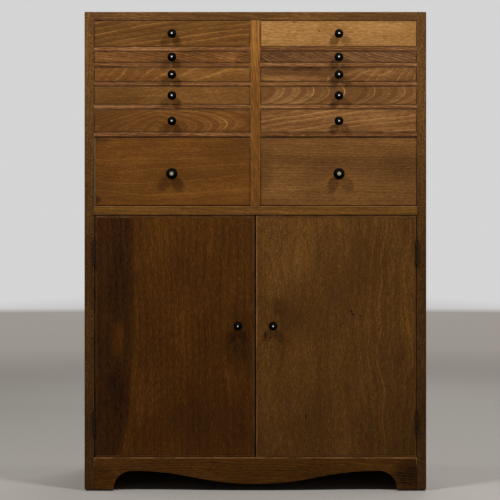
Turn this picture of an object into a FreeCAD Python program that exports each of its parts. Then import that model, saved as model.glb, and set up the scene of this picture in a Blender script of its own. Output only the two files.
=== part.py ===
"""A haberdashery cabinet: two columns of six drawers over a cupboard with two doors.

Millimetres. +Z is up, the front faces -Y and +X is at the viewer's right. The origin is on the
floor, midway between the sides and midway between the faces of the foremost knobs and the back.
Everything left of the middle is built once and mirrored for the right.
"""
import FreeCAD
import Part
import os

# Overall size
cabinet_width = 762.0
cabinet_height = 1068.0
carcass_depth = 406.0

# Boards of the carcass
side_thickness = 21.0
top_thickness = 19.0
waist_thickness = 19.5
base_thickness = 18.0
divider_thickness = 22.0
rail_thickness = 9.5
rail_depth = 50.0
back_thickness = 9.0
back_board_count = 6

# Apron and feet
apron_top = 74.0
apron_thickness = 20.0
apron_middle_height = 15.5
arch_height = 44.5
foot_width = 64.5
pad_thickness = 3.0
pad_length = 57.0
pad_width = 15.0
pad_inset = 3.0

# Drawers, openings from the top row down
drawer_openings = (59.0, 26.0, 33.0, 41.5, 52.5, 154.8)
drawer_front_thickness = 18.0
drawer_side_thickness = 9.0
drawer_back_thickness = 9.0
drawer_bottom_thickness = 3.0
drawer_bottom_rise = 4.5
drawer_bottom_groove = 4.0
drawer_back_housing = 3.0
drawer_side_drop = 1.5
drawer_side_gap = 0.9
drawer_top_gap = 1.2
drawer_foot_gap = 0.3
shallow_front_trim = 0.4
deep_front_trim = 1.1
drawer_rear_gap = 6.0
edging_width = 3.0
edging_depth = 4.5
edging_gap = 0.9

# Lapped dovetails of the drawer corners
dovetail_lap = 6.0
dovetail_pitch = 36.0
dovetail_pin = 6.0
dovetail_flare = 2.0

# Runners and stops of the drawers
runner_width = 20.0
runner_housing = 3.0
stop_length = 34.0
stop_width = 14.0
stop_height = 3.5
stop_inset = 62.0
stop_gap = 0.3

# Joints of the carcass
housing_depth = 7.0
housing_setback = 15.0
tongue_thickness = 8.0
tongue_length = 6.0
tenon_length = 8.0
tenon_shoulder = 1.5
tenon_setback = 8.0
back_rebate = 8.0
back_head_rebate = 9.0
board_tongue_thickness = 3.0
board_tongue_width = 4.0
board_joint_gap = 0.6
glue_line = 0.1

# Doors
door_thickness = 20.0
door_lipping = 3.5
door_hinge_gap = 1.6
door_meeting_gap = 3.0
door_head_gap = 2.0
door_foot_gap = 1.2
door_knob_height = 368.0
door_knob_inset = 39.0

# Butt hinges
hinge_length = 54.0
hinge_head_inset = 54.0
hinge_foot_inset = 50.0
knuckle_diameter = 6.0
knuckle_count = 5
knuckle_gap = 0.4
hinge_pin_diameter = 3.0
running_fit = 0.05
hinge_clearance = 0.3
leaf_thickness = 1.5
leaf_width = 16.0
screw_count = 3
screw_pitch = 18.0
screw_length = 15.0
screw_diameter = 3.0
screw_head_diameter = 5.6
screw_slot = 0.7
screw_clearance = 0.1

# Turned knobs with an inlaid dot
small_knob_diameter = 19.8
small_knob_projection = 20.0
small_knob_neck = 9.0
small_knob_spigot = 6.4
small_inlay_diameter = 3.8
small_knob_drop = 1.7
big_knob_diameter = 25.4
big_knob_projection = 25.0
big_knob_neck = 12.0
big_knob_spigot = 10.0
big_inlay_diameter = 8.4
big_knob_drop = 6.0
knob_foot_flare = 1.8
knob_spigot_length = 12.0
inlay_depth = 1.5

# Outline of a knob, as shares of its projection and, for the shoulder's radius, of its diameter
knob_waist_share = 0.24
knob_widest_share = 0.6
knob_shoulder_share = 0.86
knob_shoulder_radius_share = 0.42

# Magnetic catches
catch_offset = 46.0
catch_length = 40.0
catch_width = 16.0
catch_height = 13.0
catch_gap = 0.3
catch_plate_length = 28.0
catch_plate_height = 10.0
catch_plate_thickness = 1.2

# Shelf of the cupboard
shelf_thickness = 16.0
shelf_height = 270.0
shelf_setback = 28.0
shelf_end_gap = 0.8
bearer_height = 20.0
bearer_width = 14.0

# Planes that the parts share
half_width = cabinet_width / 2
inner_half = half_width - side_thickness
divider_half = divider_thickness / 2
front_reach = max(small_knob_projection, big_knob_projection)
front_y = (front_reach - carcass_depth) / 2
back_y = front_y + carcass_depth
back_face_y = back_y - back_thickness
drawer_back_y = back_face_y - drawer_rear_gap
top_under = cabinet_height - top_thickness
waist_top = top_under - sum(drawer_openings) - rail_thickness * (len(drawer_openings) - 1)
waist_under = waist_top - waist_thickness
base_under = apron_top - base_thickness
shelf_under = apron_top + shelf_height
door_left = -inner_half + door_hinge_gap
door_right = -door_meeting_gap / 2
door_bottom = apron_top + door_foot_gap
door_top = waist_under - door_head_gap
door_back_y = front_y + door_thickness
knuckle_radius = knuckle_diameter / 2
hinge_x = -inner_half + door_hinge_gap / 2
hinge_y = front_y - knuckle_radius - hinge_clearance
hinge_starts = (door_top - hinge_head_inset - hinge_length, door_bottom + hinge_foot_inset)


def block(x0, x1, y0, y1, z0, z1, grow=0.0):
    """A box between two corners, grown outwards on every side."""
    corner = FreeCAD.Vector(x0 - grow, y0 - grow, z0 - grow)
    size = (x1 - x0 + 2 * grow, y1 - y0 + 2 * grow, z1 - z0 + 2 * grow)
    return Part.makeBox(*size, corner)


def rod(radius, start, direction, length):
    """A round rod from a point along a direction."""
    return Part.makeCylinder(radius, length, FreeCAD.Vector(*start), FreeCAD.Vector(*direction))


def mirrored(shape):
    """The same piece on the other side of the cabinet's middle plane."""
    return shape.mirror(FreeCAD.Vector(0, 0, 0), FreeCAD.Vector(1, 0, 0))


def both(shapes):
    """Pieces of the left half together with their mirror images."""
    return shapes + [mirrored(shape) for shape in shapes]


def save(name, *solids):
    """Write one node, a single solid or several separate ones."""
    shape = solids[0] if len(solids) == 1 else Part.makeCompound(list(solids))
    shape.exportStep(f"parts/{name}.step")


def drawer_rows():
    """Floor and ceiling of every drawer opening, from the top row down."""
    rows = []
    ceiling = top_under
    for height in drawer_openings:
        rows.append((ceiling - height, ceiling))
        ceiling -= height + rail_thickness
    return rows


def rail_levels():
    """Lower and upper face of every rail between two drawers of a column."""
    return [(floor - rail_thickness, floor) for floor, _ in drawer_rows()[:-1]]


def top_tongue(grow=0.0):
    """The tongue that holds the top board in the left side."""
    middle = top_under + top_thickness / 2
    half = tongue_thickness / 2
    return block(-inner_half - housing_depth, -inner_half, front_y + housing_setback, back_face_y,
                 middle - half, middle + half, grow)


def waist_tongue(grow=0.0):
    """The end of the waist board that is let into the left side."""
    return block(-inner_half - housing_depth, -inner_half, front_y + housing_setback, back_face_y,
                 waist_under, waist_top, grow)


def base_tongue(grow=0.0):
    """The end of the base board that is let into the left side."""
    return block(-inner_half - housing_depth, -inner_half, front_y + apron_thickness, back_face_y,
                 base_under, apron_top, grow)


def divider_tongue(z0, z1, grow=0.0):
    """A tongue on the upper or lower edge of the divider."""
    half = tongue_thickness / 2
    return block(-half, half, front_y + housing_setback, back_face_y, z0, z1, grow)


def divider_head(grow=0.0):
    """The divider's tongue under the top board."""
    return divider_tongue(top_under, top_under + tongue_length, grow)


def divider_heel(grow=0.0):
    """The divider's tongue in the waist board."""
    return divider_tongue(waist_top - tongue_length, waist_top, grow)


def rail_tenons(z0, z1, grow=0.0):
    """Both tenons of a rail in the left column, in the side and in the divider."""
    y0 = front_y + tenon_setback
    y1 = front_y + rail_depth - tenon_setback
    z0 += tenon_shoulder
    z1 -= tenon_shoulder
    return [block(-inner_half - tenon_length, -inner_half, y0, y1, z0, z1, grow),
            block(-divider_half, -divider_half + tenon_length, y0, y1, z0, z1, grow)]


def runners(z0, z1, grow=0.0):
    """Both runners behind a rail of the left column, let into the side and the divider."""
    y0 = front_y + rail_depth
    return [block(-inner_half - runner_housing, -inner_half + runner_width, y0, back_face_y, z0, z1, grow),
            block(-divider_half - runner_width, -divider_half + runner_housing, y0, back_face_y, z0, z1,
                  grow)]


def screw_places(start):
    """Height and depth of the screws in one hinge leaf."""
    middle_z = start + hinge_length / 2
    middle_y = (front_y + hinge_y + leaf_width) / 2
    first = -(screw_count - 1) / 2
    return [(middle_y, middle_z + (first + number) * screw_pitch) for number in range(screw_count)]


def leaf_recess(side, start):
    """The cut for one hinge leaf in the wood, with the holes of its screws."""
    near = hinge_x + side * door_hinge_gap / 2
    far = near + side * leaf_thickness
    x0, x1 = sorted((near, far))
    cuts = [block(x0, x1, hinge_y, hinge_y + leaf_width, start, start + hinge_length, glue_line)]
    for y, z in screw_places(start):
        cuts.append(rod(screw_diameter / 2 + screw_clearance, (near, y, z), (side, 0, 0),
                        screw_length + screw_clearance))
    return cuts


def hinge_leaf(side, start):
    """One leaf with its knuckles: the frame's for side -1, the door's for side 1."""
    near = hinge_x + side * door_hinge_gap / 2
    far = near + side * leaf_thickness
    x0, x1 = sorted((near, far))
    plate_y = hinge_y + knuckle_radius + hinge_clearance
    leaf = block(x0, x1, plate_y, hinge_y + leaf_width, start, start + hinge_length)
    pitch = hinge_length / knuckle_count
    for number in range(knuckle_count):
        if (number % 2 == 0) == (side < 0):
            z0 = start + number * pitch + knuckle_gap / 2
            z1 = start + (number + 1) * pitch - knuckle_gap / 2
            leaf = leaf.fuse(rod(knuckle_radius, (hinge_x, hinge_y, z0), (0, 0, 1), z1 - z0))
            leaf = leaf.fuse(block(x0, x1, hinge_y, plate_y + leaf_thickness, z0, z1))
    leaf = leaf.cut(rod(hinge_pin_diameter / 2 + running_fit, (hinge_x, hinge_y, start), (0, 0, 1),
                        hinge_length))
    for y, z in screw_places(start):
        sink = Part.makeCone(screw_head_diameter / 2 + screw_clearance, screw_diameter / 2 + screw_clearance,
                             leaf_thickness, FreeCAD.Vector(near, y, z), FreeCAD.Vector(side, 0, 0))
        leaf = leaf.cut(sink)
    return leaf.removeSplitter()


def hinge_screws(side, start):
    """The countersunk screws of one hinge leaf."""
    near = hinge_x + side * door_hinge_gap / 2
    screws = []
    for y, z in screw_places(start):
        head = Part.makeCone(screw_head_diameter / 2, screw_diameter / 2, leaf_thickness,
                             FreeCAD.Vector(near, y, z), FreeCAD.Vector(side, 0, 0))
        shank = rod(screw_diameter / 2, (near + side * leaf_thickness, y, z), (side, 0, 0),
                    screw_length - leaf_thickness)
        slot = block(near - screw_slot, near + screw_slot, y - screw_head_diameter, y + screw_head_diameter,
                     z - screw_slot / 2, z + screw_slot / 2)
        screws.append(head.fuse(shank).cut(slot))
    return screws


def hinge_pin(start):
    """The pin of one hinge."""
    return rod(hinge_pin_diameter / 2, (hinge_x, hinge_y, start), (0, 0, 1), hinge_length)


def side_panel():
    """The left side, grooved for every board that it holds."""
    panel = block(-half_width, -inner_half, front_y, back_y, pad_thickness, cabinet_height)
    rebate_head = top_under + back_head_rebate
    rebate = block(-inner_half - back_rebate, -inner_half, back_face_y, back_y, 0, rebate_head)
    cuts = [rebate, top_tongue(glue_line), waist_tongue(glue_line), base_tongue(glue_line)]
    for z0, z1 in rail_levels():
        cuts.append(rail_tenons(z0, z1, glue_line)[0])
        cuts.append(runners(z0, z1, glue_line)[0])
    for start in hinge_starts:
        cuts += leaf_recess(-1, start)
    return panel.cut(cuts)


def top_board():
    """The top, tongued into both sides and rebated over the back."""
    board = block(-inner_half, inner_half, front_y, back_y, top_under, cabinet_height)
    board = board.fuse(both([top_tongue()]))
    rebate = block(-half_width, half_width, back_face_y, back_y, top_under, top_under + back_head_rebate)
    return board.cut([rebate, divider_head(glue_line)]).removeSplitter()


def waist_board():
    """The board between drawers and cupboard, its front edge showing."""
    board = block(-inner_half, inner_half, front_y, back_face_y, waist_under, waist_top)
    return board.fuse(both([waist_tongue()])).cut(divider_heel(glue_line)).removeSplitter()


def base_board():
    """The floor of the cupboard, behind the apron."""
    board = block(-inner_half, inner_half, front_y + apron_thickness, back_face_y, base_under, apron_top)
    return board.fuse(both([base_tongue()])).removeSplitter()


def drawer_divider():
    """The upright between the two columns of drawers."""
    board = block(-divider_half, divider_half, front_y, back_face_y, waist_top, top_under)
    board = board.fuse([divider_head(), divider_heel()])
    cuts = []
    for z0, z1 in rail_levels():
        cuts += both([rail_tenons(z0, z1, glue_line)[1], runners(z0, z1, glue_line)[1]])
    return board.cut(cuts).removeSplitter()


def drawer_rail(z0, z1):
    """A rail of the left column with its two tenons."""
    rail = block(-inner_half, -divider_half, front_y, front_y + rail_depth, z0, z1)
    return rail.fuse(rail_tenons(z0, z1)).removeSplitter()


def drawer_stops(floor):
    """Two blocks on an opening's floor that stop the drawer front."""
    y0 = front_y + drawer_front_thickness + stop_gap
    left = -inner_half + stop_inset
    right = -divider_half - stop_inset
    return [block(left, left + stop_length, y0, y0 + stop_width, floor, floor + stop_height),
            block(right - stop_length, right, y0, y0 + stop_width, floor, floor + stop_height)]


def back_boards():
    """Tongued and grooved boards that close the back."""
    left = -inner_half - back_rebate + glue_line
    pitch = -2 * left / back_board_count
    z0 = 2 * pad_thickness
    z1 = top_under + back_head_rebate - glue_line
    middle_y = (back_face_y + back_y) / 2
    y0 = middle_y - board_tongue_thickness / 2
    y1 = middle_y + board_tongue_thickness / 2
    boards = []
    for number in range(back_board_count):
        x0 = left + number * pitch
        x1 = x0 + pitch
        last = number == back_board_count - 1
        if not last:
            x1 -= board_joint_gap
        board = block(x0, x1, back_face_y, back_y, z0, z1)
        if not last:
            board = board.fuse(block(x1, x1 + board_tongue_width, y0, y1, z0, z1))
        if number:
            groove = block(x0 - board_joint_gap, x0 - board_joint_gap + board_tongue_width, y0, y1, z0, z1,
                           glue_line)
            board = board.cut(groove)
        boards.append(board.removeSplitter())
    return boards


def arc(start, middle, end):
    """A round edge through three points of the apron's outline."""
    points = [FreeCAD.Vector(x, front_y, z) for x, z in (start, middle, end)]
    return Part.Arc(*points).toShape()


def line(start, end):
    """A straight edge of the apron's outline."""
    return Part.makeLine(FreeCAD.Vector(start[0], front_y, start[1]), FreeCAD.Vector(end[0], front_y, end[1]))


def front_apron():
    """The shaped board under the doors: a quarter round at each foot, then a long ogee to the middle."""
    cove = arch_height - pad_thickness
    foot_x = half_width - foot_width
    span = foot_x - cove
    drop = arch_height - apron_middle_height
    radius = (span * span + drop * drop) / (4 * drop)
    sag = radius - (radius * radius - (span / 4) ** 2) ** 0.5
    half_root = 0.5 ** 0.5
    bend = (span / 2, (arch_height + apron_middle_height) / 2)
    shoulder = (0.75 * span, arch_height - sag)
    crown = (span, arch_height)
    round_middle = (span + cove * half_root, pad_thickness + cove * half_root)
    foot = (foot_x, pad_thickness)
    corner = (inner_half, pad_thickness)
    head = (inner_half, apron_top)

    def left(point):
        return (-point[0], point[1])

    edges = [line(left(head), left(corner)), line(left(corner), left(foot)),
             arc(left(foot), left(round_middle), left(crown)), arc(left(crown), left(shoulder), left(bend)),
             arc(left(bend), (0.0, apron_middle_height), bend), arc(bend, shoulder, crown),
             arc(crown, round_middle, foot), line(foot, corner), line(corner, head), line(head, left(head))]
    return Part.Face(Part.Wire(edges)).extrude(FreeCAD.Vector(0, apron_thickness, 0))


def foot_pads():
    """Dark pads under the left front foot and the left back corner."""
    x0 = -half_width + pad_inset
    front = front_y + pad_inset
    rear = back_face_y - pad_inset
    return [block(x0, x0 + pad_length, front, front + pad_width, 0, pad_thickness),
            block(x0, x0 + pad_width, rear - pad_length, rear, 0, pad_thickness)]


def knob(x, z, diameter, projection, neck, spigot, inlay):
    """A turned knob with a spigot into the wood, and the dot inlaid in its face."""
    def at(radius, out):
        return FreeCAD.Vector(x + radius, front_y - out, z)

    head_out = knob_widest_share * projection
    seat_out = projection - inlay_depth
    shoulder = at(knob_shoulder_radius_share * diameter, knob_shoulder_share * projection)
    outline = [Part.makeLine(at(0, -knob_spigot_length), at(spigot / 2, -knob_spigot_length)),
               Part.makeLine(at(spigot / 2, -knob_spigot_length), at(spigot / 2, 0)),
               Part.makeLine(at(spigot / 2, 0), at(neck / 2 + knob_foot_flare, 0)),
               Part.Arc(at(neck / 2 + knob_foot_flare, 0), at(neck / 2, knob_waist_share * projection),
                        at(diameter / 2, head_out)).toShape(),
               Part.Arc(at(diameter / 2, head_out), shoulder, at(inlay / 2, projection)).toShape(),
               Part.makeLine(at(inlay / 2, projection), at(inlay / 2, seat_out)),
               Part.makeLine(at(inlay / 2, seat_out), at(0, seat_out)),
               Part.makeLine(at(0, seat_out), at(0, -knob_spigot_length))]
    body = Part.Face(Part.Wire(outline)).revolve(at(0, 0), FreeCAD.Vector(0, 1, 0), 360)
    dot = rod(inlay / 2 - glue_line, (x, front_y - seat_out, z), (0, -1, 0), inlay_depth)
    return [body, dot]


def small_knob(x, z):
    """The knob of the shallow drawers and the doors."""
    return knob(x, z, small_knob_diameter, small_knob_projection, small_knob_neck, small_knob_spigot,
                small_inlay_diameter)


def big_knob(x, z):
    """The knob of the deep drawers."""
    return knob(x, z, big_knob_diameter, big_knob_projection, big_knob_neck, big_knob_spigot,
                big_inlay_diameter)


def knob_hole(x, z, diameter):
    """The stopped hole for a knob's spigot."""
    return rod(diameter / 2 + glue_line, (x, front_y - glue_line, z), (0, 1, 0),
               knob_spigot_length + 2 * glue_line)


def dovetails(x0, x1, z0, z1, grow=0.0):
    """Tails on the front end of a drawer side, evenly spaced over its height."""
    count = max(1, round((z1 - z0) / dovetail_pitch))
    pitch = (z1 - z0) / count
    tip_y = front_y + dovetail_lap - grow
    root_y = front_y + drawer_front_thickness
    tails = []
    for number in range(count):
        middle = z0 + (number + 0.5) * pitch
        tip = (pitch - dovetail_pin) / 2 + grow
        root = tip - dovetail_flare
        corners = [(root_y, middle - root), (tip_y, middle - tip), (tip_y, middle + tip),
                   (root_y, middle + root), (root_y, middle - root)]
        outline = Part.makePolygon([FreeCAD.Vector(x0 - grow, y, z) for y, z in corners])
        tails.append(Part.Face(outline).extrude(FreeCAD.Vector(x1 - x0 + 2 * grow, 0, 0)))
    return tails


def drawer(row, edged):
    """Front, box and knob of one drawer of the left column."""
    floor, ceiling = drawer_rows()[row]
    x0 = -inner_half + drawer_side_gap
    x1 = -divider_half - drawer_side_gap
    z0 = floor + drawer_foot_gap
    z1 = ceiling - drawer_top_gap
    y0 = front_y + drawer_front_thickness
    side_top = z1 - drawer_side_drop
    bottom_z0 = z0 + drawer_bottom_rise
    bottom_z1 = bottom_z0 + drawer_bottom_thickness
    in0 = x0 + drawer_side_thickness
    in1 = x1 - drawer_side_thickness
    back_y0 = drawer_back_y - drawer_back_thickness
    knob_x = (x0 + x1) / 2
    deep = row == len(drawer_openings) - 1
    knob_z = (floor + ceiling) / 2 - (big_knob_drop if deep else small_knob_drop)
    spigot = big_knob_spigot if deep else small_knob_spigot

    left_tails = dovetails(x0, in0, z0, side_top)
    right_tails = dovetails(in1, x1, z0, side_top)
    groove = block(in0 - drawer_bottom_groove, in1 + drawer_bottom_groove, y0 - drawer_bottom_groove,
                   drawer_back_y, bottom_z0, bottom_z1, glue_line)
    front_groove = block(in0, in1, y0 - drawer_bottom_groove, y0, bottom_z0, bottom_z1, glue_line)
    side_groove = block(in0 - drawer_bottom_groove, in1 + drawer_bottom_groove, y0, drawer_back_y,
                        bottom_z0, bottom_z1)
    back = block(in0 - drawer_back_housing, in1 + drawer_back_housing, back_y0, drawer_back_y, bottom_z1,
                 side_top)
    back_housing = block(in0 - drawer_back_housing, in1 + drawer_back_housing, back_y0, drawer_back_y,
                         bottom_z1, side_top, glue_line)

    front_z0 = z0 + (deep_front_trim if deep else shallow_front_trim)
    front_z1 = z1 - (deep_front_trim if deep else 0.0)
    front = block(x0, x1, front_y, y0, front_z0, front_z1)
    front = front.cut(dovetails(x0, in0, z0, side_top, glue_line))
    front = front.cut(dovetails(in1, x1, z0, side_top, glue_line))
    front = front.cut([front_groove, knob_hole(knob_x, knob_z, spigot)])
    fronts = [front]
    if edged:
        edge_x = x0 + edging_width
        edge_y = front_y + edging_depth
        fronts = [front.cut(block(x0, edge_x + edging_gap, front_y, edge_y, z0, z1)),
                  block(x0, edge_x, front_y, edge_y - glue_line, front_z0, front_z1)]

    cuts = [groove, back_housing]
    left_side = block(x0, in0, y0, drawer_back_y, z0, side_top).fuse(left_tails).cut(cuts)
    right_side = block(in1, x1, y0, drawer_back_y, z0, side_top).fuse(right_tails).cut(cuts)
    bottom = side_groove.fuse(block(in0, in1, y0 - drawer_bottom_groove, y0, bottom_z0, bottom_z1))
    box = [left_side.removeSplitter(), right_side.removeSplitter(), back, bottom.removeSplitter()]
    maker = big_knob if deep else small_knob
    return fronts, box, maker(knob_x, knob_z)


def door_boards():
    """The left door: a veneered core with a lipping round its four edges."""
    z0 = door_bottom + door_lipping
    z1 = door_top - door_lipping
    x0 = door_left + door_lipping
    x1 = door_right - door_lipping
    boards = [block(x0, x1, front_y, door_back_y, z0, z1),
              block(door_left, x0 - glue_line, front_y, door_back_y, door_bottom, door_top),
              block(x1 + glue_line, door_right, front_y, door_back_y, door_bottom, door_top),
              block(x0, x1, front_y, door_back_y, z1 + glue_line, door_top),
              block(x0, x1, front_y, door_back_y, door_bottom, z0 - glue_line)]
    cuts = [knob_hole(-door_knob_inset, door_knob_height, small_knob_spigot)]
    for start in hinge_starts:
        cuts += leaf_recess(1, start)
    return [board.cut(cuts) for board in boards]


def catch_plate():
    """The steel plate on the back of the left door."""
    return block(-catch_offset - catch_plate_length / 2, -catch_offset + catch_plate_length / 2, door_back_y,
                 door_back_y + catch_plate_thickness, door_top - catch_plate_height, door_top)


def catch_magnet():
    """The magnet under the waist board, behind the left door."""
    y0 = door_back_y + catch_plate_thickness + catch_gap
    return block(-catch_offset - catch_length / 2, -catch_offset + catch_length / 2, y0, y0 + catch_width,
                 waist_under - catch_height, waist_under)


def cupboard_shelf():
    """The loose shelf of the cupboard."""
    half = inner_half - shelf_end_gap
    return block(-half, half, door_back_y + shelf_setback, back_face_y - shelf_end_gap, shelf_under,
                 shelf_under + shelf_thickness)


def shelf_bearers():
    """Battens under the shelf, one on each side and one across the back."""
    z0 = shelf_under - bearer_height
    side = block(-inner_half, -inner_half + bearer_width, door_back_y + shelf_setback, back_face_y, z0,
                 shelf_under)
    half = inner_half - bearer_width - glue_line
    return both([side]) + [block(-half, half, back_face_y - bearer_width, back_face_y, z0, shelf_under)]


def main():
    """Build every node and write it."""
    os.makedirs("parts", exist_ok=True)
    left_side = side_panel()
    save("left_side_panel", left_side)
    save("right_side_panel", mirrored(left_side))
    save("top_board", top_board())
    save("waist_board", waist_board())
    save("base_board", base_board())
    save("drawer_divider", drawer_divider())
    save("back_boards", *back_boards())
    save("front_apron", front_apron())
    save("foot_pads", *both(foot_pads()))
    save("drawer_rails", *both([drawer_rail(z0, z1) for z0, z1 in rail_levels()]))
    save("drawer_runners", *both([runner for z0, z1 in rail_levels() for runner in runners(z0, z1)]))
    save("drawer_stops", *both([stop for floor, _ in drawer_rows() for stop in drawer_stops(floor)]))
    save("cupboard_shelf", cupboard_shelf())
    save("shelf_bearers", *shelf_bearers())
    save("catch_magnets", *both([catch_magnet()]))

    frame_hinges = []
    door_hinges = []
    for start in hinge_starts:
        frame_hinges += [hinge_leaf(-1, start), hinge_pin(start)] + hinge_screws(-1, start)
        door_hinges += [hinge_leaf(1, start)] + hinge_screws(1, start)
    save("frame_hinges", *both(frame_hinges))
    door_parts = {"panel": door_boards(), "hinges": door_hinges, "catch_plate": [catch_plate()],
                  "knob": small_knob(-door_knob_inset, door_knob_height)}
    for name, solids in door_parts.items():
        save(f"left_door_{name}", *solids)
        save(f"right_door_{name}", *[mirrored(solid) for solid in solids])

    for row in range(len(drawer_openings)):
        edged = row == len(drawer_openings) - 1
        for side, shape in (("left", lambda solid: solid), ("right", mirrored)):
            front, box, turned = drawer(row, edged and side == "left")
            save(f"drawer_front_{side}_{row + 1}", *[shape(solid) for solid in front])
            save(f"drawer_box_{side}_{row + 1}", *[shape(solid) for solid in box])
            save(f"drawer_knob_{side}_{row + 1}", *[shape(solid) for solid in turned])


if __name__ == "__main__":
    main()
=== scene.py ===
"""The looks of a haberdashery cabinet: twelve drawers over a cupboard with two doors.

Each shown piece is cut from the mesh of its own node, its arrises are eased, and every board in it
carries its own grain, so that the figure runs along the board and turns over its edges. All sizes
are in metres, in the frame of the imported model: the front faces -Y and +Z is up.
"""

from __future__ import annotations

import logging
import math
import random
from dataclasses import dataclass, field, replace
from enum import Enum
from typing import Callable, Optional, Union

import bmesh
import bpy
import numpy as np
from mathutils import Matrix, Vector


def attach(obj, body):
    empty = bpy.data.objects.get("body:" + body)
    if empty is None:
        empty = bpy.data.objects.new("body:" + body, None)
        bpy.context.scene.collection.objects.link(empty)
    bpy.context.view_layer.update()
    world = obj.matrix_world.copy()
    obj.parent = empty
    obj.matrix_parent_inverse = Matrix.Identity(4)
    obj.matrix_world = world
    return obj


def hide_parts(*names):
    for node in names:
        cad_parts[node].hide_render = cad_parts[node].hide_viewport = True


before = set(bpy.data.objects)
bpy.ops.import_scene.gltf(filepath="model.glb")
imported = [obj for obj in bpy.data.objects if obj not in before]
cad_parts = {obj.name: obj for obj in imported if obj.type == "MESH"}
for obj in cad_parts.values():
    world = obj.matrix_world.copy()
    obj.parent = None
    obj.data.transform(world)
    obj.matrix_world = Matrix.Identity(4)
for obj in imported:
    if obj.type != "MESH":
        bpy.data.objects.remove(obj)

log = logging.getLogger("cabinet")

Colour = tuple[float, float, float]


class Slot(Enum):
    """The record's material slots."""

    DRAWER_FRONT = "drawer_front_wood"
    DOOR = "door_wood"
    CARCASS = "carcass_wood"
    LINING = "drawer_lining"
    INNER = "inner_wood"
    EBONISED = "ebonised_wood"
    HINGE = "hinge_metal"
    CATCH = "catch_metal"
    PAD = "pad_felt"


class Arrises(Enum):
    """Which arrises of a piece are eased."""

    AS_CUT = "none"
    OUTER = "the outer arrises of each board"
    FACE = "the arrises around the front face, curves too"


class Side(Enum):
    """The two halves of the cabinet, seen from the front."""

    LEFT = "left"
    RIGHT = "right"


def tint(red: int, green: int, blue: int) -> Colour:
    """A colour as the eye names it, 0 to 255, turned into light.

    Args:
        red: share of red.
        green: share of green.
        blue: share of blue.

    Returns:
        The three linear values.
    """
    shares = (value / 255 for value in (red, green, blue))
    return tuple(
        share / 12.92 if share <= 0.04045 else ((share + 0.055) / 1.055) ** 2.4 for share in shares)


def by_math(operation: str, turned: bool = False) -> Callable[..., Value]:
    """A method of values that adds one Math node.

    Args:
        operation: what the node does.
        turned: whether the other operand goes first.

    Returns:
        The method.
    """
    def method(value: Value, *others: Operand) -> Value:
        """Adds the node."""
        operands = (*others, value) if turned else (value, *others)
        return value.sheet.value("ShaderNodeMath", {"operation": operation}, dict(enumerate(operands)))

    return method


class Value:
    """One output of a material's nodes, which takes part in sums as a number does."""

    __add__ = __radd__ = by_math("ADD")
    __sub__ = by_math("SUBTRACT")
    __rsub__ = by_math("SUBTRACT", turned=True)
    __mul__ = __rmul__ = by_math("MULTIPLY")
    __truediv__ = by_math("DIVIDE")
    __rtruediv__ = by_math("DIVIDE", turned=True)
    __abs__ = by_math("ABSOLUTE")
    least = by_math("MINIMUM")
    most = by_math("MAXIMUM")
    floor = by_math("FLOOR")
    fraction = by_math("FRACT")

    def __init__(self, sheet: NodeSheet, socket: bpy.types.NodeSocket) -> None:
        """Keeps the socket and the sheet of nodes that it is on."""
        self.sheet = sheet
        self.socket = socket

    def rise(self, low: float, high: float) -> Value:
        """From 0 at low to 1 at high, smoothly; falls where low is above high.

        Args:
            low: where it is 0.
            high: where it is 1.

        Returns:
            The smooth step.
        """
        ends = (high, low, 1.0, 0.0) if low > high else (low, high, 0.0, 1.0)
        sockets = {0: self, **dict(enumerate(ends, start=1))}
        return self.sheet.value("ShaderNodeMapRange", {"interpolation_type": "SMOOTHSTEP"}, sockets)


Operand = Union[Value, float, int]


@dataclass(frozen=True)
class Noise:
    """One kind of soft noise, from 0 to 1.

    Fields:
        scale: grains for each metre along, across and through a board.
        shift: how far apart two boards lie in it.
        detail: how many finer layers it has.
        roughness: how strong the finer layers are.
        distortion: how much it is stirred.
    """

    scale: tuple[float, float, float]
    shift: float
    detail: float = 2.0
    roughness: float = 0.5
    distortion: float = 0.0


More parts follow.
